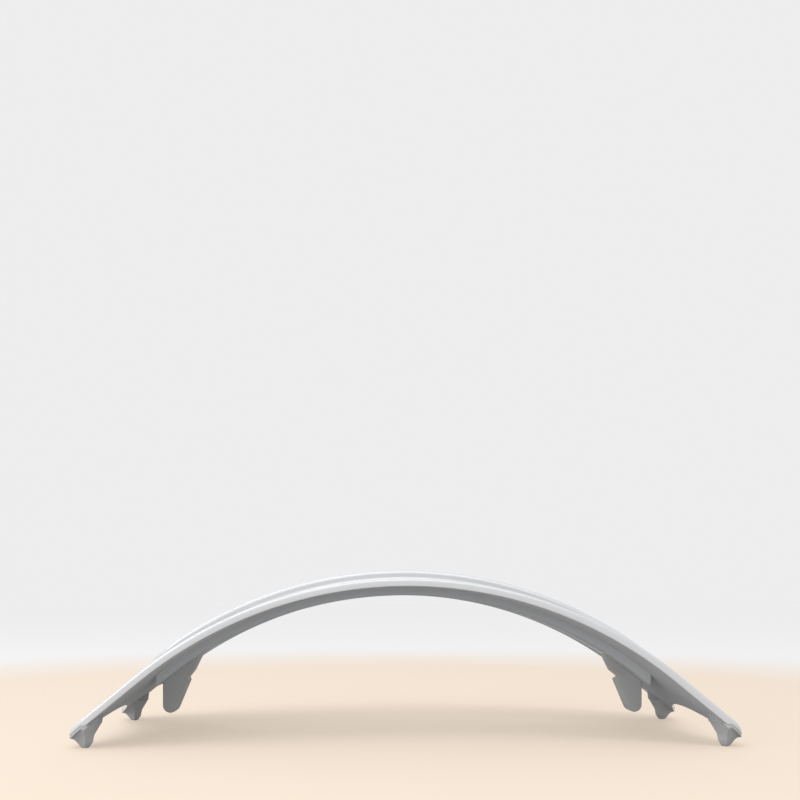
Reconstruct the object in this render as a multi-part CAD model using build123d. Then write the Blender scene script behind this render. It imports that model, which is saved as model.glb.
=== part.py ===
from build123d import *

import os
from math import atan2, cos, degrees, hypot, radians, sin, tan

# An upright stand: one arched metal band with a slot along its crown, a soft liner pressed into the
# slot to hold what stands in it, and a rubber foot let into the underside of each of its four toes.
# Millimetres, +Z up, X along the band, -Y to the front, origin on the ground under the crown.

# Arched band: a curve that runs out into two straight legs
arch_radius = 181.0  # underside of the curve
leg_slope = 39.3  # degrees from level
band_thickness = 3.4
foot_height = 9.3  # from the ground to the band's underside, at a foot's axis
foot_spacing_x = 276.8
foot_spacing_y = 80.0
toe_radius = 7.2  # round corner of the band over each foot
end_hollow = 10.6  # how far each end draws in between its two toes
upper_edge_round = 1.4

# Slot, the rim round it above the band and the straight rim along it below
slot_length = 231.0
slot_width = 21.5
rim_width = 4.4
rim_rise = 4.3
rim_drop = 4.0
rim_crest_bevel = 1.6
rim_root_bevel = 1.2
rim_lower_bevel = 2.0
lower_rim_inset = 0.8  # from the slot's end back to the end of the lower rim

# Liner: side walls all along the slot, and at each end a level seat with a tongue hanging under it
liner_clearance = 0.15
channel_width = 16.6  # room for what stands in it
liner_end_wall = 2.2
seat_length = 18.5  # from the tongue's outer edge to the seat's inner tip
seat_drop = 1.0  # from the rim's underside down to the seat, at that tip
seat_lip = 2.0  # thickness of the seat where it leaves the side walls
tongue_thickness = 8.0
tongue_inset = 1.2  # from the slot's end to the tongue's outer edge
tongue_length = 28.2  # from the seat down to the tip
tongue_tip_round = 3.9
tongue_bevel = 0.5
flank_width = 14.4  # from the tongue's outer edge to the knee in its flank
flank_drop = 8.4  # from the seat down to that knee
tab_width = 12.4  # of the pull tab below the notch, along its ledge
tab_drop = 12.8  # from the seat down to that ledge
tab_slant = 23.0  # degrees from upright, inner edge of the pull tab
right_notch_depth = 1.9
left_notch_depth = 0.6
notch_height = 1.2

# Foot: a flare with a ridge to the front, the back and both ends, under a level pad of the band on its
# inner half and a round collar that is let into the toe on its outer half
pad_height = 10.6  # from the ground to the pad
pad_radius = 6.2
seat_depth = 1.4  # let into the band's underside
collar_clearance = 0.15
collar_thickness = 1.2
sole_ridge = 1.6  # reach of the side ridges from the foot's axis, at the sole and further up
ankle_height = 2.0
ankle_ridge = 3.0
calf_height = 5.6
calf_ridge = 4.6
pad_ridge = 8.7
inner_share = 0.59  # reach of the end ridges for each millimetre of the side ridges
outer_share = 1.55
sole_shift = 0.4  # from the foot's axis out to the side ridges, at the sole
ridge_lean = 8.0  # degrees by which the side ridges lean in to the middle

# Places worked out from those sizes
slope = radians(leg_slope)
foot_x = foot_spacing_x / 2
foot_y = foot_spacing_y / 2
half_length = foot_x + toe_radius
half_depth = foot_y + toe_radius
curve_reach = arch_radius * sin(slope)
arch_centre_z = foot_height + (foot_x - curve_reach) * tan(slope) - arch_radius * cos(slope)
rim_top = band_thickness + rim_rise
rim_reach = slot_width / 2 + rim_width  # from the slot's middle line to the rim's outer wall
crown_top = arch_centre_z + arch_radius + rim_top
prism_height = 2 * crown_top  # taller than anything it cuts
tongue_reach = slot_length / 2 - tongue_inset
seat_tip_x = tongue_reach - seat_length
rim_underside = foot_height - rim_drop / cos(slope) + (foot_x - seat_tip_x) * tan(slope)
seat_height = rim_underside - seat_drop  # level on which the lower edge of what stands in it rests
same_place = 0.02  # points closer than this count as one


def surface_line(height):
    """Leg, curve and leg of the line that keeps one height over the band's underside."""
    radius = arch_radius + height
    reach = radius * sin(slope)
    level = arch_centre_z + radius * cos(slope)
    run_out = half_length
    far = reach + run_out * cos(slope)
    low = level - run_out * sin(slope)
    return [
        Line((-far, low), (-reach, level)),
        ThreePointArc((-reach, level), (0, arch_centre_z + radius), (reach, level)),
        Line((reach, level), (far, low)),
    ]


def layer(bottom, top):
    """Everything between two heights over the band's underside, wider than the stand."""
    under = surface_line(bottom)
    over = surface_line(top)
    ends = [Line(under[0] @ 0, over[0] @ 0), Line(under[2] @ 1, over[2] @ 1)]
    section = Plane.XZ * make_face(under + over + ends)
    return extrude(section, amount=2 * half_depth, both=True)


def height_over_underside(point):
    """How far a point lies above the band's underside, square to it."""
    along = abs(point.X)
    up = point.Z - arch_centre_z
    if along < up * tan(slope):
        return hypot(along, up) - arch_radius
    return along * sin(slope) + up * cos(slope) - arch_radius


def edges_at_height(solid, height):
    """Edges that run along the band at one height over its underside."""

    def runs_along(edge):
        return all(
            abs(height_over_underside(edge @ place) - height) < same_place for place in (0, 0.5, 1)
        )

    return solid.edges().filter_by(runs_along).filter_by(Axis.Y, reverse=True)


def upright(face):
    """A level outline raised through the whole height of the stand."""
    return extrude(face, amount=prism_height, both=True)


def slot_outline(margin):
    """Plan of the slot, grown by a margin all round."""
    return SlotOverall(slot_length + 2 * margin, slot_width + 2 * margin)


def above(level):
    """Everything over one level, wider and taller than the stand."""
    room = Box(
        4 * half_length,
        4 * half_depth,
        prism_height,
        align=(Align.CENTER, Align.CENTER, Align.MIN),
    )
    return Pos(0, 0, level) * room


def out_from_slot(point):
    """How far a point lies from the slot's middle line, seen from above."""
    past_end = max(abs(point.X) - (slot_length - slot_width) / 2, 0)
    return hypot(past_end, point.Y)


def disc_at_foot(radius):
    """Round prism about the axis of the front right foot."""
    return upright(Pos(foot_x, -foot_y) * Circle(radius))


def at_each_toe(front_right):
    """The same shape at all four toes, mirrored about both middle planes."""
    front_left = mirror(front_right, about=Plane.YZ)
    return {
        "front_right": front_right,
        "front_left": front_left,
        "rear_right": mirror(front_right, about=Plane.XZ),
        "rear_left": mirror(front_left, about=Plane.XZ),
    }


def band_outline():
    """Plan of the band: straight long sides, round toes, and ends drawn in between the toes."""
    rise = toe_radius - end_hollow
    hollow_radius = (foot_y**2 + rise**2 - toe_radius**2) / (2 * end_hollow)
    tilt = degrees(atan2(foot_y, hollow_radius + rise))
    rear_toe = CenterArc((foot_x, foot_y), toe_radius, -tilt, 90 + tilt)
    front_toe = CenterArc((foot_x, -foot_y), toe_radius, -90, 90 + tilt)
    end = ThreePointArc(front_toe @ 1, (half_length - end_hollow, 0), rear_toe @ 0)
    long_sides = [
        Line((-foot_x, half_depth), (foot_x, half_depth)),
        Line((-foot_x, -half_depth), (foot_x, -half_depth)),
    ]
    right_end = [rear_toe, front_toe, end]
    left_end = [mirror(edge, about=Plane.YZ) for edge in right_end]
    return make_face(long_sides + right_end + left_end)


def rim_root(frame):
    """Edges along which the outer wall of the upper rim meets the band."""

    def on_rim_wall(edge):
        return abs(out_from_slot(edge @ 0.5) - rim_reach) < same_place

    return edges_at_height(frame, band_thickness).filter_by(on_rim_wall)


def make_lower_rim():
    """The straight rim under the band, still without its slot."""
    plan = Rectangle(slot_length - 2 * lower_rim_inset, 2 * rim_reach)
    rim = layer(-rim_drop, 0) & upright(plan)
    return chamfer(edges_at_height(rim, -rim_drop), rim_lower_bevel)


def make_arch_frame():
    """The band with its rimmed slot, and a pad and a seat for each foot."""
    band = layer(0, band_thickness) & upright(band_outline())
    band = fillet(edges_at_height(band, band_thickness), upper_edge_round)
    rim = layer(0, rim_top) & upright(slot_outline(rim_width))
    rim = chamfer(edges_at_height(rim, rim_top), rim_crest_bevel)
    frame = band + rim
    frame = chamfer(rim_root(frame), rim_root_bevel)
    frame += make_lower_rim()
    frame -= upright(slot_outline(0))

    pad = layer(-foot_height, 0) & disc_at_foot(pad_radius) & above(pad_height)
    for toe_pad in at_each_toe(pad).values():
        frame += toe_pad
    seat_plan = disc_at_foot(toe_radius + collar_clearance)
    seat = (layer(-foot_height, seat_depth) & seat_plan) - above(pad_height)
    for toe_seat in at_each_toe(seat).values():
        frame -= toe_seat
    return frame


def make_tongue(notch_depth):
    """Right-hand tongue: the seat's flank, a notch, and the pull tab with its rounded tip."""
    bottom = seat_height - tongue_length
    ledge_x = tongue_reach - tab_width
    ledge_z = seat_height - tab_drop
    tip_x = ledge_x + (ledge_z - bottom) * tan(radians(tab_slant))
    outline = Polyline(
        (seat_tip_x, seat_height),
        (tongue_reach - flank_width, seat_height - flank_drop),
        (ledge_x + notch_depth, ledge_z + notch_height),
        (ledge_x, ledge_z),
        (tip_x, bottom),
        (tongue_reach, bottom),
        (tongue_reach, seat_height),
        close=True,
    )
    face = make_face(outline)
    tip_corners = face.vertices().group_by(Axis.Y)[0]
    largest_round = (tongue_reach - tip_x) / (1 + tan(radians(90 - tab_slant) / 2)) - same_place
    face = fillet(tip_corners, min(tongue_tip_round, largest_round))
    tongue = extrude(Plane.XZ * face, amount=tongue_thickness / 2, both=True)
    below_seat = tongue.edges().filter_by(lambda edge: (edge @ 0.5).Z < seat_height - same_place)
    return chamfer(below_seat.filter_by(Axis.Y, reverse=True), tongue_bevel)


def make_slot_liner():
    """Side walls along the slot, a seat at each end and the tongues, moulded as one piece."""
    outer_length = slot_length - 2 * liner_clearance
    outer_plan = upright(slot_outline(-liner_clearance))
    sleeve = layer(-rim_drop, rim_top) & outer_plan
    walls = sleeve - upright(SlotOverall(outer_length - 2 * liner_end_wall, channel_width))
    seat_start = seat_tip_x + seat_lip / tan(slope)
    seat_block = Pos(seat_start, 0, seat_height) * Box(
        half_length, 2 * half_depth, prism_height, align=(Align.MIN, Align.CENTER, Align.MAX)
    )
    seat = sleeve & seat_block
    right_end = seat + (make_tongue(right_notch_depth) & outer_plan)
    left_end = seat + (make_tongue(left_notch_depth) & outer_plan)
    return walls + right_end + mirror(left_end, about=Plane.YZ)


def kite_corners(height, ridge):
    """Inner, front, outer and back corner of the front right foot's level section."""
    middle = foot_x + sole_shift - height * tan(radians(ridge_lean))
    return [
        (middle - inner_share * ridge, -foot_y, height),
        (middle, -foot_y - ridge, height),
        (middle + outer_share * ridge, -foot_y, height),
        (middle, -foot_y + ridge, height),
    ]


def make_flare(kites):
    """Solid with a flat facet between each side of a kite and the same side of the next one up."""
    facets = [kites[0], kites[-1]]
    for lower, upper in zip(kites, kites[1:]):
        for corner in range(4):
            following = (corner + 1) % 4
            facets.append([lower[corner], lower[following], upper[following], upper[corner]])
    return Solid(Shell([Face(Wire.make_polygon(facet)) for facet in facets]))


def make_foot():
    """Front right foot: a flare that grows out of a small sole up to the pad and the round collar."""
    flare = make_flare(
        [
            kite_corners(0, sole_ridge),
            kite_corners(ankle_height, ankle_ridge),
            kite_corners(calf_height, calf_ridge),
            kite_corners(pad_height, pad_ridge),
        ]
    )
    below_collar = layer(-2 * foot_height, seat_depth - collar_thickness)
    collar = layer(seat_depth - collar_thickness, seat_depth)
    foot = ((flare & below_collar) + collar) & disc_at_foot(toe_radius - collar_clearance)
    return foot - above(pad_height)


pieces = {"arch_frame": make_arch_frame(), "slot_liner": make_slot_liner()}
for place, foot in at_each_toe(make_foot()).items():
    pieces["foot_" + place] = foot

os.makedirs("parts", exist_ok=True)
for name, piece in pieces.items():
    export_step(piece, f"parts/{name}.step")
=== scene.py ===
from math import asin, atan2, cos, degrees, pi, radians, sin, sqrt, tan

import bmesh
import bpy
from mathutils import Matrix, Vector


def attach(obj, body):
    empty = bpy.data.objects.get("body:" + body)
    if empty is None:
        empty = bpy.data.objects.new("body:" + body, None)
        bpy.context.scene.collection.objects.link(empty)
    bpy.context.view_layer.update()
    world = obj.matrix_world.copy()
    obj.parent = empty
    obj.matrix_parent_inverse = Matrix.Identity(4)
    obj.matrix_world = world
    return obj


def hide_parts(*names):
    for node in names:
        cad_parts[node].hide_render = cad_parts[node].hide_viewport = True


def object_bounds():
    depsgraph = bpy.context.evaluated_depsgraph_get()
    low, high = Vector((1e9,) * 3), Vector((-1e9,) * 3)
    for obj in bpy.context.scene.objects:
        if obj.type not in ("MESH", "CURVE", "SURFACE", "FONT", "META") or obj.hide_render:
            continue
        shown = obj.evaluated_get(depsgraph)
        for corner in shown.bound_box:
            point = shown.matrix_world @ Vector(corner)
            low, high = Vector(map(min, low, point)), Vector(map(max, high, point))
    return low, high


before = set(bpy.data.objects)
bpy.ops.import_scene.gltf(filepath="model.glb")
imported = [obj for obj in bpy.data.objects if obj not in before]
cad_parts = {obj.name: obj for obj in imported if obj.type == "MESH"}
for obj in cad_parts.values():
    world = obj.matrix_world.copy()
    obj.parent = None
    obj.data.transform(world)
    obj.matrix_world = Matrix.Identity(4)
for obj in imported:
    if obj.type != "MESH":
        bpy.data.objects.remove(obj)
cad_low, cad_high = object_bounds()

# An arched desk stand: a satin band with a rimmed slot, a soft liner in the slot and four rubber feet.
# Lengths are in metres; +X runs along the band, -Y is the front and +Z is up.

# Camera: level, a little left of the stand's middle and just under its crown
PICTURE_SIDE = 800
FOCAL_PIXELS = 857
SENSOR_WIDTH_MM = 36
CAMERA_PLACE = (-0.0192, -0.4121, 0.0671)
CAMERA_TURN = radians(0.865)  # to the right
CAMERA_SHIFT = (0.03, 0.2403)
LEVEL_VIEW = radians(90)

# Stage: a wide round floor, warm near the stand and white further off, that fades into a pale surround
FLOOR_RADIUS = 6.0
WARM_FLOOR = (0.915, 0.785, 0.655, 1.0)
WHITE_FLOOR = (0.93, 0.93, 0.94, 1.0)
SURROUND = (0.853, 0.853, 0.862, 1.0)
WARM_FLOOR_END = 0.36  # distance from the stand's middle at which the warm tone starts to fade
WHITE_FLOOR_START = 0.60  # distance at which the floor is all white
LIT_SHARE = 0.50  # of the floor's tone that the lamps light, and so carries the shadow
GLOW_SHARE = 0.475  # of that tone that is there by itself
FLOOR_BOUNCE = 0.38  # grey level of the floor for the light that it throws back at the stand
FLOOR_ROUGHNESS = 0.8
FLOOR_SHINE = 0.1

# Light: a pale tent, a strip light over the front of the crown and a key light at the left
TENT_BRIGHT_SIDE = (-0.62, -0.60, 0.51)
TENT_LEVELS = (0.42, 1.04)  # on the dark side and on the bright side
STRIP_PLACE = (-0.16, -0.36, 0.72)
STRIP_WIDTH = 1.20
STRIP_DEPTH = 0.14
STRIP_WATTS = 2.0
KEY_PLACE = (-0.85, -0.50, 0.50)
KEY_SIDE = 0.50
KEY_WATTS = 2.1

# Band: a curve that runs out into two straight legs, with a round toe at each corner
ARCH_RADIUS = 0.181  # of the underside
LEG_SLOPE = radians(39.3)
BAND_THICKNESS = 0.0034
FOOT_HEIGHT = 0.0093  # level of the underside over the middle of a foot
FOOT_X = 0.1384
FOOT_Y = 0.040
TOE_RADIUS = 0.0072
END_HOLLOW = 0.0106  # how far the end of the band is drawn in between its toes
UPPER_EDGE_ROUND = 0.0014
LOWER_EDGE_ROUND = 0.0003
ARCH_CENTRE_Z = (
    FOOT_HEIGHT
    + (FOOT_X - ARCH_RADIUS * sin(LEG_SLOPE)) * tan(LEG_SLOPE)
    - ARCH_RADIUS * cos(LEG_SLOPE)
)

# Slot, the rim round it above the band, the two straight rails along it below, and the liner in it
SLOT_LENGTH = 0.231
SLOT_RADIUS = 0.01075
SLOT_REACH = SLOT_LENGTH / 2 - SLOT_RADIUS  # from the middle to where the slot's round end starts
RIM_WIDTH = 0.0044
RIM_TOP = 0.0077  # over the band's underside
MOUTH_ROUND = 0.0003
CREST_ROUND = 0.0016
ROOT_COVE = 0.0012
RAIL_DROP = 0.004
RAIL_ROUND = 0.002
RAIL_INSET = 0.0008  # from the end of the slot to the end of the rail
RAIL_SKIN = 0.00002  # keeps the rail's wall just off the slot's own, so that the two join cleanly
ROOT_DEPTH = 0.001  # how far the rails and the pads reach up into the band
LINER_EDGE_ROUND = 0.0003

# Feet, each under a level pad on its inner half and with a collar let into the toe on its outer half
CORNERS = {
    "foot_front_right": (1, -1),
    "foot_front_left": (-1, -1),
    "foot_rear_right": (1, 1),
    "foot_rear_left": (-1, 1),
}
PAD_HEIGHT = 0.0106
PAD_RADIUS = 0.0062
PAD_FLARE = 0.12  # growth of the pad's radius with its height
SEAT_DEPTH = 0.0014
COLLAR_THICKNESS = 0.0012
COLLAR_CLEARANCE = 0.00015
COLLAR_EDGE_ROUND = 0.00015
FOOT_SECTIONS = (  # level, and reach of the ridges to the front and back, inwards and outwards
    (0.0, 0.0013, 0.0010, 0.0018),
    (0.0004, 0.0019, 0.0015, 0.0026),
    (0.0024, 0.0031, 0.0026, 0.0045),
    (0.0034, 0.0036, 0.0026, 0.0057),
    (0.0039, 0.0038, 0.0026, 0.0074),
    (0.0056, 0.0046, 0.0028, 0.0095),
    (0.0106, 0.0087, 0.0051, 0.0135),
)
SOLE_SHIFT = 0.0004  # of the sole outwards from the foot's axis
RIDGE_LEAN = radians(8)  # inwards, as the foot rises
RIDGE_SOFTNESS = 1.75  # 1 is a round section and 2 one with straight sides

# Finishes and painted shade, in linear colours: the tone drifts between pale and deep, the roughness with
# the grain
METAL_PALE = (0.75, 0.765, 0.78, 1.0)
METAL_DEEP = (0.70, 0.71, 0.725, 1.0)
METAL_ROUGHNESS = (0.22, 0.30)
METAL_SHARE = 0.22  # of bare metal in the lacquered skin
METAL_SHINE = 0.25
METAL_GRAIN = (7000, 45, 0.000004)  # scale of the grain and of the mottle, and height of the grain
MATT_ROUGHNESS = 0.85
PAINTED_SHADE_COLOUR = (0.45, 0.45, 0.45, 1.0)  # painted shade: colour that the band is darkened towards where it lies in shade
# Shares of painted shade on the underside and rails, on the rim's outer wall and on the foot pads
UNDERSIDE_PAINTED_SHADE = 0.25
RIM_WALL_PAINTED_SHADE = 0.45
PAD_PAINTED_SHADE = 1.0
WALL_TILT = 0.1  # the most that the normal of a wall's face rises or falls
SILICONE_PALE = (0.55, 0.55, 0.55, 1.0)
SILICONE_DEEP = (0.51, 0.51, 0.51, 1.0)
RUBBER_PALE = (0.56, 0.56, 0.56, 1.0)
RUBBER_DEEP = (0.51, 0.51, 0.51, 1.0)
RUBBER_ROUGHNESS = (0.55, 0.70)
RUBBER_SHINE = 0.35
RUBBER_GRAIN = (4500, 60, 0.00001)
GRAIN_DETAIL = 2.0
MOTTLE_DETAIL = 3.0
NOISE_ROUGHNESS = 0.55

# How finely the shapes are divided
ROUND_STEPS = 64
SIDE_STEPS = 72
TOE_STEPS = 12
HOLLOW_STEPS = 20
END_STEPS = 2 * TOE_STEPS + HOLLOW_STEPS
PLATE_STEPS = 8
EDGE_STEPS = 6
COVE_STEPS = 5
SMALL_STEPS = 3
RAIL_END_STEPS = 12
SECTION_STEPS = 3

# Joins and shading
SAME_PLACE = 0.000002
FLAT_ANGLE = radians(0.6)
SMOOTH_ANGLE = radians(32)
EDGE_ANGLE = radians(28)


def work_on(piece):
    """Makes one piece the only selected and active object."""
    bpy.ops.object.select_all(action="DESELECT")
    piece.select_set(True)
    bpy.context.view_layer.objects.active = piece


def apply_modifier(piece, kind, **settings):
    """Adds one modifier to a piece and applies it."""
    work_on(piece)
    modifier = piece.modifiers.new(kind.lower(), kind)
    for name, value in settings.items():
        setattr(modifier, name, value)
    bpy.ops.object.modifier_apply(modifier=modifier.name)


def combine(piece, operation, tool):
    """Joins a second shape to a piece, cuts it out or keeps what both share, and removes that shape."""
    apply_modifier(piece, "BOOLEAN", operation=operation, object=tool, solver="EXACT")
    bpy.data.objects.remove(tool)


def smooth(piece, angle):
    """Shades a piece smooth, apart from its sharper edges."""
    work_on(piece)
    bpy.ops.object.shade_smooth_by_angle(angle=angle)


def copy_of_node(node, name):
    """A piece with the mesh of a CAD node, its triangles joined up and its flat faces made whole."""
    piece = bpy.data.objects.new(name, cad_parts[node].data.copy())
    bpy.context.scene.collection.objects.link(piece)
    work_on(piece)
    bpy.ops.object.mode_set(mode="EDIT")
    bpy.ops.mesh.select_all(action="SELECT")
    bpy.ops.mesh.remove_doubles(threshold=SAME_PLACE)
    bpy.ops.mesh.dissolve_limited(angle_limit=FLAT_ANGLE)
    bpy.ops.object.mode_set(mode="OBJECT")
    return piece


def skin(name, loops, is_ring):
    """A piece with faces from each loop of points to the next; a ring closes, the rest is capped."""
    mesh = bmesh.new()
    rows = [[mesh.verts.new(point) for point in loop] for loop in loops]
    next_rows = rows[1:] + rows[:1] if is_ring else rows[1:]
    for row, next_row in zip(rows, next_rows):
        for place in range(len(row)):
            mesh.faces.new((row[place - 1], row[place], next_row[place], next_row[place - 1]))
    if not is_ring:
        mesh.faces.new(rows[0])
        mesh.faces.new(rows[-1])
    bmesh.ops.recalc_face_normals(mesh, faces=mesh.faces[:])
    data = bpy.data.meshes.new(name)
    mesh.to_mesh(data)
    mesh.free()
    piece = bpy.data.objects.new(name, data)
    bpy.context.scene.collection.objects.link(piece)
    return piece


def arc(centre, radius, start, end, steps):
    """Points along an arc from one angle to another, in degrees."""
    turns = [radians(start + (end - start) * step / steps) for step in range(steps + 1)]
    return [(centre[0] + radius * cos(turn), centre[1] + radius * sin(turn)) for turn in turns]


def surface_level(x, height):
    """Level, at one place along the band, of the surface at a height over its underside."""
    radius = ARCH_RADIUS + height
    if abs(x) < radius * sin(LEG_SLOPE):
        return ARCH_CENTRE_Z + sqrt(radius**2 - x**2)
    return ARCH_CENTRE_Z + (radius - abs(x) * sin(LEG_SLOPE)) / cos(LEG_SLOPE)


def lifted(plan, height):
    """A plan laid on the arched surface at a height over the band's underside."""
    return [(x, y, surface_level(x, height)) for x, y in plan]


def whole_plan(right_end):
    """A closed plan from its right end: the same end mirrored to the left, and straight sides between."""
    half, depth = right_end[-1]
    left_end = [(-x, y) for x, y in reversed(right_end)]
    runs = [half * (1 - 2 * step / SIDE_STEPS) for step in range(1, SIDE_STEPS)]
    rear_side = [(x, depth) for x in runs]
    front_side = [(-x, -depth) for x in runs]
    return right_end + rear_side + left_end + front_side


def slot_plan(margin):
    """Plan of the slot, grown by a margin."""
    return whole_plan(arc((SLOT_REACH, 0), SLOT_RADIUS + margin, -90, 90, END_STEPS))


def band_plan(margin):
    """Plan of the band, grown by a margin: straight sides, round toes, ends drawn in between them."""
    rise = TOE_RADIUS - END_HOLLOW
    hollow_radius = (FOOT_Y**2 + rise**2 - TOE_RADIUS**2) / (2 * END_HOLLOW)
    tilt = degrees(atan2(FOOT_Y, hollow_radius + rise))
    hollow_centre = (FOOT_X + rise + hollow_radius, 0)
    front_toe = arc((FOOT_X, -FOOT_Y), TOE_RADIUS + margin, -90, tilt, TOE_STEPS)
    hollow = arc(hollow_centre, hollow_radius - margin, 180 + tilt, 180 - tilt, HOLLOW_STEPS)
    rear_toe = arc((FOOT_X, FOOT_Y), TOE_RADIUS + margin, -tilt, 90, TOE_STEPS)
    return whole_plan(front_toe + hollow[1:-1] + rear_toe)


def plans_between(first, last):
    """Plans that pass in even steps from one plan to another, without those two."""
    shares = [step / PLATE_STEPS for step in range(1, PLATE_STEPS)]
    return [
        [(x + (u - x) * share, y + (v - y) * share) for (x, y), (u, v) in zip(first, last)]
        for share in shares
    ]


def make_plate():
    """The arched plate and its upper rim, as one skin from the slot's mouth out and back underneath."""
    mouth = arc((MOUTH_ROUND, RIM_TOP - MOUTH_ROUND), MOUTH_ROUND, 180, 90, SMALL_STEPS)
    crest = arc((RIM_WIDTH - CREST_ROUND, RIM_TOP - CREST_ROUND), CREST_ROUND, 90, 0, EDGE_STEPS)
    cove = arc((RIM_WIDTH + ROOT_COVE, BAND_THICKNESS + ROOT_COVE), ROOT_COVE, 180, 270, COVE_STEPS)
    edge_middle = (-UPPER_EDGE_ROUND, BAND_THICKNESS - UPPER_EDGE_ROUND)
    upper_edge = arc(edge_middle, UPPER_EDGE_ROUND, 90, 0, EDGE_STEPS)
    lower_edge = arc((-LOWER_EDGE_ROUND, LOWER_EDGE_ROUND), LOWER_EDGE_ROUND, 0, -90, SMALL_STEPS)

    top_start = slot_plan(RIM_WIDTH + ROOT_COVE)
    top_end = band_plan(-UPPER_EDGE_ROUND)
    under_start = band_plan(-LOWER_EDGE_ROUND)
    under_end = slot_plan(0)
    loops = [lifted(slot_plan(margin), height) for margin, height in mouth + crest + cove]
    loops += [lifted(plan, BAND_THICKNESS) for plan in plans_between(top_start, top_end)]
    loops += [lifted(band_plan(margin), height) for margin, height in upper_edge + lower_edge]
    loops += [lifted(plan, 0) for plan in plans_between(under_start, under_end)]
    loops.append(lifted(under_end, 0))
    return skin("arched_band", loops, is_ring=True)


def make_rail(side):
    """One of the two rails along the slot, under the band, with blunt ends and a rounded lower edge."""
    outer = SLOT_RADIUS + RIM_WIDTH
    bend = asin((SLOT_LENGTH / 2 - RAIL_INSET - SLOT_REACH) / SLOT_RADIUS)
    turns = [bend * step / RAIL_END_STEPS for step in range(1, RAIL_END_STEPS + 1)]
    end = [SLOT_REACH + SLOT_RADIUS * sin(turn) for turn in turns]
    straight = [SLOT_REACH * (2 * step / SIDE_STEPS - 1) for step in range(SIDE_STEPS + 1)]
    edge = arc((outer - RAIL_ROUND, RAIL_ROUND - RAIL_DROP), RAIL_ROUND, -90, 0, EDGE_STEPS)
    sections = []
    for x in [-x for x in reversed(end)] + straight + end:
        past_straight = max(abs(x) - SLOT_REACH, 0)
        inner = sqrt(SLOT_RADIUS**2 - past_straight**2) + RAIL_SKIN
        profile = [(inner, ROOT_DEPTH), (inner, -RAIL_DROP)] + edge + [(outer, ROOT_DEPTH)]
        sections.append([(x, side * y, surface_level(x, height)) for y, height in profile])
    return skin("rail", sections, is_ring=False)


def cut_at_height(piece, side_x, height, keep_below):
    """Cuts a piece along a leg's surface at a height over the band's underside and closes the cut."""
    work_on(piece)
    bpy.ops.object.mode_set(mode="EDIT")
    bpy.ops.mesh.select_all(action="SELECT")
    bpy.ops.mesh.bisect(
        plane_co=(side_x * FOOT_X, 0, surface_level(FOOT_X, height)),
        plane_no=(side_x * sin(LEG_SLOPE), 0, cos(LEG_SLOPE)),
        use_fill=True,
        clear_outer=keep_below,
        clear_inner=not keep_below,
    )
    bpy.ops.object.mode_set(mode="OBJECT")


def foot_prism(corner, radius, bottom, top, flare=0.0):
    """A round upright prism about the axis of one foot, straight or widening upwards."""
    side_x, side_y = corner
    bpy.ops.object.select_all(action="DESELECT")
    bpy.ops.mesh.primitive_cone_add(
        vertices=ROUND_STEPS,
        radius1=radius,
        radius2=radius + flare * (top - bottom),
        depth=top - bottom,
        location=(side_x * FOOT_X, side_y * FOOT_Y, (bottom + top) / 2),
    )
    prism = bpy.context.object
    bpy.ops.object.transform_apply(location=True, rotation=True, scale=True)
    return prism


def make_band():
    """The band with its rails, and a pad and a seat for each foot."""
    band = make_plate()
    for side in (-1, 1):
        combine(band, "UNION", make_rail(side))
    for corner in CORNERS.values():
        pad = foot_prism(corner, PAD_RADIUS, PAD_HEIGHT, PAD_HEIGHT + FOOT_HEIGHT, PAD_FLARE)
        cut_at_height(pad, corner[0], ROOT_DEPTH, keep_below=True)
        combine(band, "UNION", pad)
        seat = foot_prism(corner, TOE_RADIUS + COLLAR_CLEARANCE, -FOOT_HEIGHT, PAD_HEIGHT)
        cut_at_height(seat, corner[0], SEAT_DEPTH, keep_below=True)
        combine(band, "DIFFERENCE", seat)
    smooth(band, SMOOTH_ANGLE)
    mark_matt_and_painted_shade(band)
    return band


def is_underside(face):
    """Whether one of the band's faces is on its underside, or on the rails or the pads there."""
    return face.center.z < surface_level(face.center.x, LOWER_EDGE_ROUND / 2)


def painted_shade_of_face(face):
    """How much painted shade one of the band's faces gets: none on its top and along its edges."""
    x, y, z = face.center
    # Painted shade: full on the pads, a share on the rim's outer wall and a smaller one on the underside
    # and rails
    if z < surface_level(x, -LOWER_EDGE_ROUND) and abs(y) > FOOT_Y / 2:
        return PAD_PAINTED_SHADE
    if is_underside(face):
        return UNDERSIDE_PAINTED_SHADE
    if z > surface_level(x, BAND_THICKNESS) and abs(face.normal.z) < WALL_TILT:
        return RIM_WALL_PAINTED_SHADE
    return 0.0


def mark_matt_and_painted_shade(band):
    """Marks the faces of the band that are matt, and how much painted shade each face gets."""
    for name in ("matt", "mottle_and_painted_shade"):
        band.data.attributes.new(name, "FLOAT", "FACE")
    matt = band.data.attributes["matt"].data
    mottle_and_painted_shade = band.data.attributes["mottle_and_painted_shade"].data
    for face in band.data.polygons:
        matt[face.index].value = 1.0 if is_underside(face) else 0.0
        mottle_and_painted_shade[face.index].value = painted_shade_of_face(face)


def make_liner():
    """The liner with its moulded edges rounded."""
    liner = copy_of_node("slot_liner", "liner")
    apply_modifier(
        liner,
        "BEVEL",
        width=LINER_EDGE_ROUND,
        segments=SMALL_STEPS,
        limit_method="ANGLE",
        angle_limit=EDGE_ANGLE,
        use_clamp_overlap=False,
    )
    smooth(liner, SMOOTH_ANGLE)
    return liner


def soft_power(value):
    """A cosine or sine raised so that a round section is drawn out to four soft ridges."""
    return abs(value) ** RIDGE_SOFTNESS * (1 if value > 0 else -1)


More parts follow.
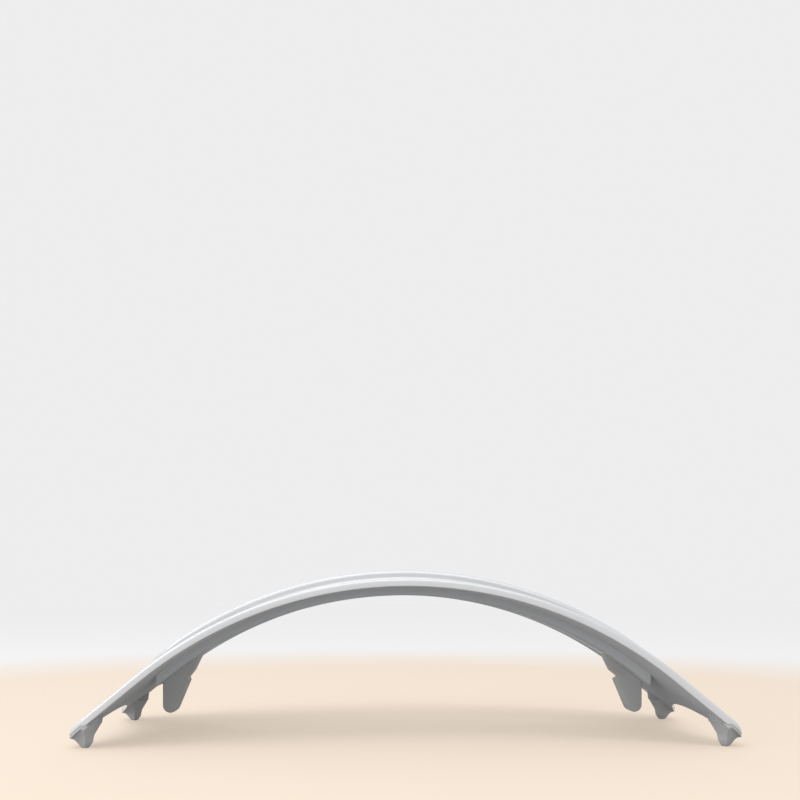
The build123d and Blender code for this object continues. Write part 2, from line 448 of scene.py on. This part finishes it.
def foot_loop(corner, level, ridge, inner, outer):
    """Level section of a foot, with a soft ridge to the front, the back and both ends."""
    middle = FOOT_X + SOLE_SHIFT - level * tan(RIDGE_LEAN)
    points = []
    for step in range(ROUND_STEPS):
        turn = 2 * pi * step / ROUND_STEPS
        reach = outer if cos(turn) > 0 else inner
        x = middle + reach * soft_power(cos(turn))
        y = FOOT_Y + ridge * soft_power(sin(turn))
        points.append((corner[0] * x, corner[1] * y, level))
    return points


def foot_sections():
    """Sections of a foot, with even steps from each given one to the next."""
    sections = [FOOT_SECTIONS[0]]
    for lower, upper in zip(FOOT_SECTIONS, FOOT_SECTIONS[1:]):
        for step in range(1, SECTION_STEPS + 1):
            share = step / SECTION_STEPS
            sections.append([low + (high - low) * share for low, high in zip(lower, upper)])
    return sections


def make_foot(node, corner):
    """One foot: a flare that grows from a small sole up to the pad and the round collar."""
    loops = [foot_loop(corner, *section) for section in foot_sections()]
    foot = skin("rubber_" + node, loops, is_ring=False)
    collar_radius = TOE_RADIUS - COLLAR_CLEARANCE
    room = foot_prism(corner, collar_radius, -FOOT_HEIGHT, PAD_HEIGHT)
    cut_at_height(room, corner[0], SEAT_DEPTH - COLLAR_THICKNESS / 2, keep_below=True)
    combine(foot, "INTERSECT", room)
    collar = foot_prism(corner, collar_radius, -FOOT_HEIGHT, PAD_HEIGHT)
    cut_at_height(collar, corner[0], SEAT_DEPTH, keep_below=True)
    cut_at_height(collar, corner[0], SEAT_DEPTH - COLLAR_THICKNESS, keep_below=False)
    combine(foot, "UNION", collar)
    apply_modifier(
        foot,
        "BEVEL",
        width=COLLAR_EDGE_ROUND,
        segments=SMALL_STEPS,
        limit_method="ANGLE",
        angle_limit=SMOOTH_ANGLE,
    )
    smooth(foot, SMOOTH_ANGLE)
    return foot


def dress(piece, node, material):
    """Gives a piece its finish and lets it stand for its CAD node."""
    piece.data.materials.clear()
    piece.data.materials.append(material)
    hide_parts(node)
    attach(piece, "root")


def grey(level):
    """A neutral colour of one linear level."""
    return (level, level, level, 1.0)


def shaded(colour, share):
    """A colour at a share of its level."""
    return tuple(part * share for part in colour[:3]) + (1.0,)


def feed(tree, source, socket):
    """Links an input to the output that feeds it, or sets it to a plain value."""
    if isinstance(source, bpy.types.NodeSocket):
        tree.links.new(source, socket)
    else:
        socket.default_value = source


def add_node(tree, kind, **inputs):
    """Adds a shader node and feeds its inputs by name."""
    node = tree.nodes.new(kind)
    for name, source in inputs.items():
        feed(tree, source, node.inputs[name.replace("_", " ")])
    return node


def add_mix(tree, first, second, factor):
    """Adds a mix of two colours by a factor and gives its result."""
    mix = tree.nodes.new("ShaderNodeMix")
    mix.data_type = "RGBA"
    feed(tree, first, mix.inputs["A"])
    feed(tree, second, mix.inputs["B"])
    feed(tree, factor, mix.inputs["Factor"])
    return mix.outputs["Result"]


def add_maths(tree, kind, operation, *sources):
    """Adds a node that works out a value from values or vectors, and gives that value."""
    node = tree.nodes.new(kind)
    node.operation = operation
    for source, socket in zip(sources, node.inputs):
        feed(tree, source, socket)
    return node.outputs["Value"]


def add_seen_rays(tree):
    """Adds a mask of the rays that show a surface: from the camera, or by reflection or transmission."""
    path = tree.nodes.new("ShaderNodeLightPath")
    seen = path.outputs["Is Camera Ray"]
    for kind in ("Is Glossy Ray", "Is Transmission Ray"):
        seen = add_maths(tree, "ShaderNodeMath", "MAXIMUM", seen, path.outputs[kind])
    return seen


def add_mark(tree, name):
    """Adds a reading of one of the marks on the band's faces."""
    mark = tree.nodes.new("ShaderNodeAttribute")
    mark.attribute_name = name
    return mark.outputs["Fac"]


def new_material(name):
    """An empty material with its node tree and its Principled shader."""
    material = bpy.data.materials.new(name)
    material.use_nodes = True
    tree = material.node_tree
    tree.nodes.clear()
    shader = tree.nodes.new("ShaderNodeBsdfPrincipled")
    output = tree.nodes.new("ShaderNodeOutputMaterial")
    tree.links.new(shader.outputs["BSDF"], output.inputs["Surface"])
    return material, tree, shader


def make_surface_grain():
    """Node group: fine grain of a blasted or moulded surface, and the broad mottle under it."""
    group = bpy.data.node_groups.new("surface_grain", "ShaderNodeTree")
    for name in ("Grain Scale", "Mottle Scale"):
        group.interface.new_socket(name, in_out="INPUT", socket_type="NodeSocketFloat")
    for name in ("Grain", "Mottle"):
        group.interface.new_socket(name, in_out="OUTPUT", socket_type="NodeSocketFloat")
    entry = group.nodes.new("NodeGroupInput")
    leave = group.nodes.new("NodeGroupOutput")
    place = group.nodes.new("ShaderNodeTexCoord")
    for result, detail in (("Grain", GRAIN_DETAIL), ("Mottle", MOTTLE_DETAIL)):
        noise = add_node(
            group,
            "ShaderNodeTexNoise",
            Vector=place.outputs["Object"],
            Scale=entry.outputs[result + " Scale"],
            Detail=detail,
            Roughness=NOISE_ROUGHNESS,
        )
        group.links.new(noise.outputs["Fac"], leave.inputs[result])
    return group


def make_grained(name, grain, pale, deep, rough, scales):
    """A material whose tone drifts between two colours and whose grain roughens its surface."""
    grain_scale, mottle_scale, bump_height = scales
    material, tree, shader = new_material(name)
    surface = tree.nodes.new("ShaderNodeGroup")
    surface.node_tree = grain
    surface.inputs["Grain Scale"].default_value = grain_scale
    surface.inputs["Mottle Scale"].default_value = mottle_scale
    height = surface.outputs["Grain"]
    mottle_and_painted_shade = add_mix(tree, deep, pale, surface.outputs["Mottle"])
    gloss = add_node(tree, "ShaderNodeMapRange", Value=height, To_Min=rough[0], To_Max=rough[1])
    bump = add_node(tree, "ShaderNodeBump", Height=height, Strength=1.0, Distance=bump_height)
    tree.links.new(mottle_and_painted_shade, shader.inputs["Base Color"])
    tree.links.new(gloss.outputs["Result"], shader.inputs["Roughness"])
    tree.links.new(bump.outputs["Normal"], shader.inputs["Normal"])
    return material, tree, shader


def make_satin_aluminium(grain):
    """Blasted and lacquered aluminium with a soft, narrow highlight: matt where it is marked, and darker
    with painted shade where that is marked.
    """
    material, tree, shader = make_grained(
        "satin_aluminium", grain, METAL_PALE, METAL_DEEP, METAL_ROUGHNESS, METAL_GRAIN
    )
    shader.inputs["Specular IOR Level"].default_value = METAL_SHINE
    matt = add_mark(tree, "matt")
    mottle_and_painted_shade = add_mark(tree, "mottle_and_painted_shade")
    tree.links.new(add_mix(tree, grey(METAL_SHARE), grey(0.0), matt), shader.inputs["Metallic"])
    # The base colour is drawn towards the painted shade colour by the painted shade mark; the roughness
    # goes matt by the matt mark
    for socket, marked, mark in (("Base Color", PAINTED_SHADE_COLOUR, mottle_and_painted_shade), ("Roughness", grey(MATT_ROUGHNESS), matt)):
        grained = shader.inputs[socket].links[0].from_socket
        tree.links.new(add_mix(tree, grained, marked, mark), shader.inputs[socket])
    return material


def make_soft_rubber(name, grain, pale, deep):
    """Moulded rubber or silicone with a dull, faintly grained skin."""
    material, _, shader = make_grained(name, grain, pale, deep, RUBBER_ROUGHNESS, RUBBER_GRAIN)
    shader.inputs["Specular IOR Level"].default_value = RUBBER_SHINE
    return material


def make_floor_finish():
    """Pale floor, warm near the stand and white further off, that throws a plain grey light back up."""
    material, tree, shader = new_material("pale_floor")
    shader.inputs["Roughness"].default_value = FLOOR_ROUGHNESS
    shader.inputs["Specular IOR Level"].default_value = FLOOR_SHINE
    place = tree.nodes.new("ShaderNodeTexCoord")
    distance = add_maths(tree, "ShaderNodeVectorMath", "LENGTH", place.outputs["Object"])
    fade = add_node(
        tree, "ShaderNodeMapRange", Value=distance, From_Min=WARM_FLOOR_END, From_Max=WHITE_FLOOR_START
    )
    far = fade.outputs["Result"]
    lit = add_mix(tree, shaded(WARM_FLOOR, LIT_SHARE), shaded(WHITE_FLOOR, LIT_SHARE), far)
    glow = add_mix(tree, WARM_FLOOR, WHITE_FLOOR, far)
    seen = add_seen_rays(tree)
    strength = add_maths(tree, "ShaderNodeMath", "MULTIPLY", seen, GLOW_SHARE)
    tree.links.new(add_mix(tree, grey(FLOOR_BOUNCE), lit, seen), shader.inputs["Base Color"])
    tree.links.new(glow, shader.inputs["Emission Color"])
    tree.links.new(strength, shader.inputs["Emission Strength"])
    return material


def make_floor():
    """A wide round sheet under the stand."""
    bpy.ops.object.select_all(action="DESELECT")
    bpy.ops.mesh.primitive_circle_add(vertices=ROUND_STEPS, radius=FLOOR_RADIUS, fill_type="NGON")
    floor = bpy.context.object
    floor.name = "floor"
    floor.data.materials.append(make_floor_finish())


def make_light_tent():
    """A pale tent, brighter to the left, the front and above, that shows as a plain surround."""
    world = bpy.data.worlds.new("light_tent")
    bpy.context.scene.world = world
    world.use_nodes = True
    tree = world.node_tree
    tree.nodes.clear()
    ray = tree.nodes.new("ShaderNodeTexCoord").outputs["Generated"]
    toward = add_maths(tree, "ShaderNodeVectorMath", "DOT_PRODUCT", ray, TENT_BRIGHT_SIDE)
    dark, bright = TENT_LEVELS
    level = add_node(tree, "ShaderNodeMapRange", Value=toward, From_Min=-1.0, To_Min=dark, To_Max=bright)
    colour = add_mix(tree, level.outputs["Result"], SURROUND, add_seen_rays(tree))
    shader = add_node(tree, "ShaderNodeBackground", Color=colour)
    output = tree.nodes.new("ShaderNodeOutputWorld")
    tree.links.new(shader.outputs["Background"], output.inputs["Surface"])


def make_light(name, place, width, depth, watts):
    """A soft light box that faces the middle of the stand."""
    data = bpy.data.lights.new(name, "AREA")
    data.shape = "RECTANGLE"
    data.size = width
    data.size_y = depth
    data.energy = watts
    light = bpy.data.objects.new(name, data)
    bpy.context.scene.collection.objects.link(light)
    light.location = place
    away = light.location - (cad_low + cad_high) / 2
    light.rotation_euler = away.to_track_quat("Z", "Y").to_euler()


def make_camera():
    """A level camera at the photograph's viewing angle."""
    data = bpy.data.cameras.new("camera")
    data.sensor_width = SENSOR_WIDTH_MM
    data.lens = SENSOR_WIDTH_MM * FOCAL_PIXELS / PICTURE_SIDE
    data.shift_x, data.shift_y = CAMERA_SHIFT
    camera = bpy.data.objects.new("camera", data)
    bpy.context.scene.collection.objects.link(camera)
    camera.location = CAMERA_PLACE
    camera.rotation_euler = (LEVEL_VIEW, 0, -CAMERA_TURN)
    bpy.context.scene.camera = camera


def build():
    """Models the stand, dresses it, and sets up its stage."""
    bpy.context.scene.view_settings.view_transform = "Standard"
    grain = make_surface_grain()
    dress(make_band(), "arch_frame", make_satin_aluminium(grain))
    silicone = make_soft_rubber("grey_silicone", grain, SILICONE_PALE, SILICONE_DEEP)
    dress(make_liner(), "slot_liner", silicone)
    rubber = make_soft_rubber("grey_rubber", grain, RUBBER_PALE, RUBBER_DEEP)
    for node, corner in CORNERS.items():
        dress(make_foot(node, corner), node, rubber)
    make_floor()
    make_light_tent()
    make_light("strip_light", STRIP_PLACE, STRIP_WIDTH, STRIP_DEPTH, STRIP_WATTS)
    make_light("key_light", KEY_PLACE, KEY_SIDE, KEY_SIDE, KEY_WATTS)
    make_camera()


build()
